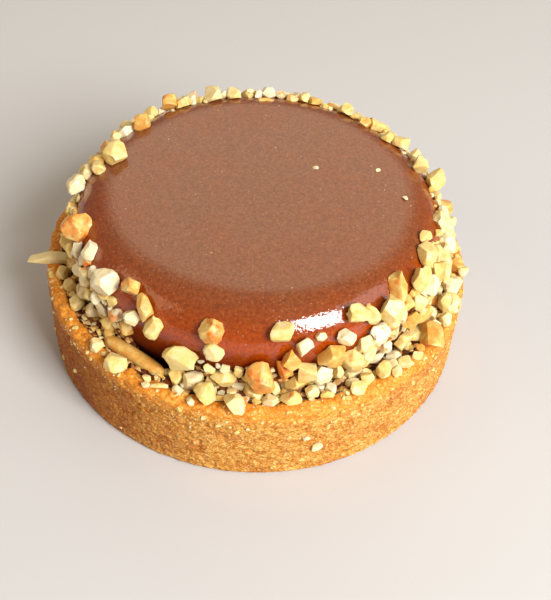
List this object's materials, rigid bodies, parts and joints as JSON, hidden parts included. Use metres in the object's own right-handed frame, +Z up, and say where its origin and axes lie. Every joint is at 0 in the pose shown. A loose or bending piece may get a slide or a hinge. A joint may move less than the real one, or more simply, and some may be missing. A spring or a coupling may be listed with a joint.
{
  "type": "tart",
  "caption": "Round shortcrust tart with a straight-sided shell, a caramel-brown glazed dome and a garland of chopped nuts round it.",
  "frame": {"origin": "middle of the shell's flat base", "axes": "+Z up along the tart's axis; the side that faces the picture's camera is -Y"},
  "size_m": [0.0818, 0.0803, 0.0337],
  "materials": {
    "baked_shortcrust": "dry, fine crumb",
    "dark_caramel_filling": "satin",
    "caramel_glaze": "mirror glaze",
    "chopped_nut": "satin"
  },
  "bodies": {
    "root": {"crust": "baked_shortcrust", "filling": "dark_caramel_filling", "glazed_dome": "caramel_glaze", "nut_garland": "chopped_nut"}
  },
  "joints": []
}
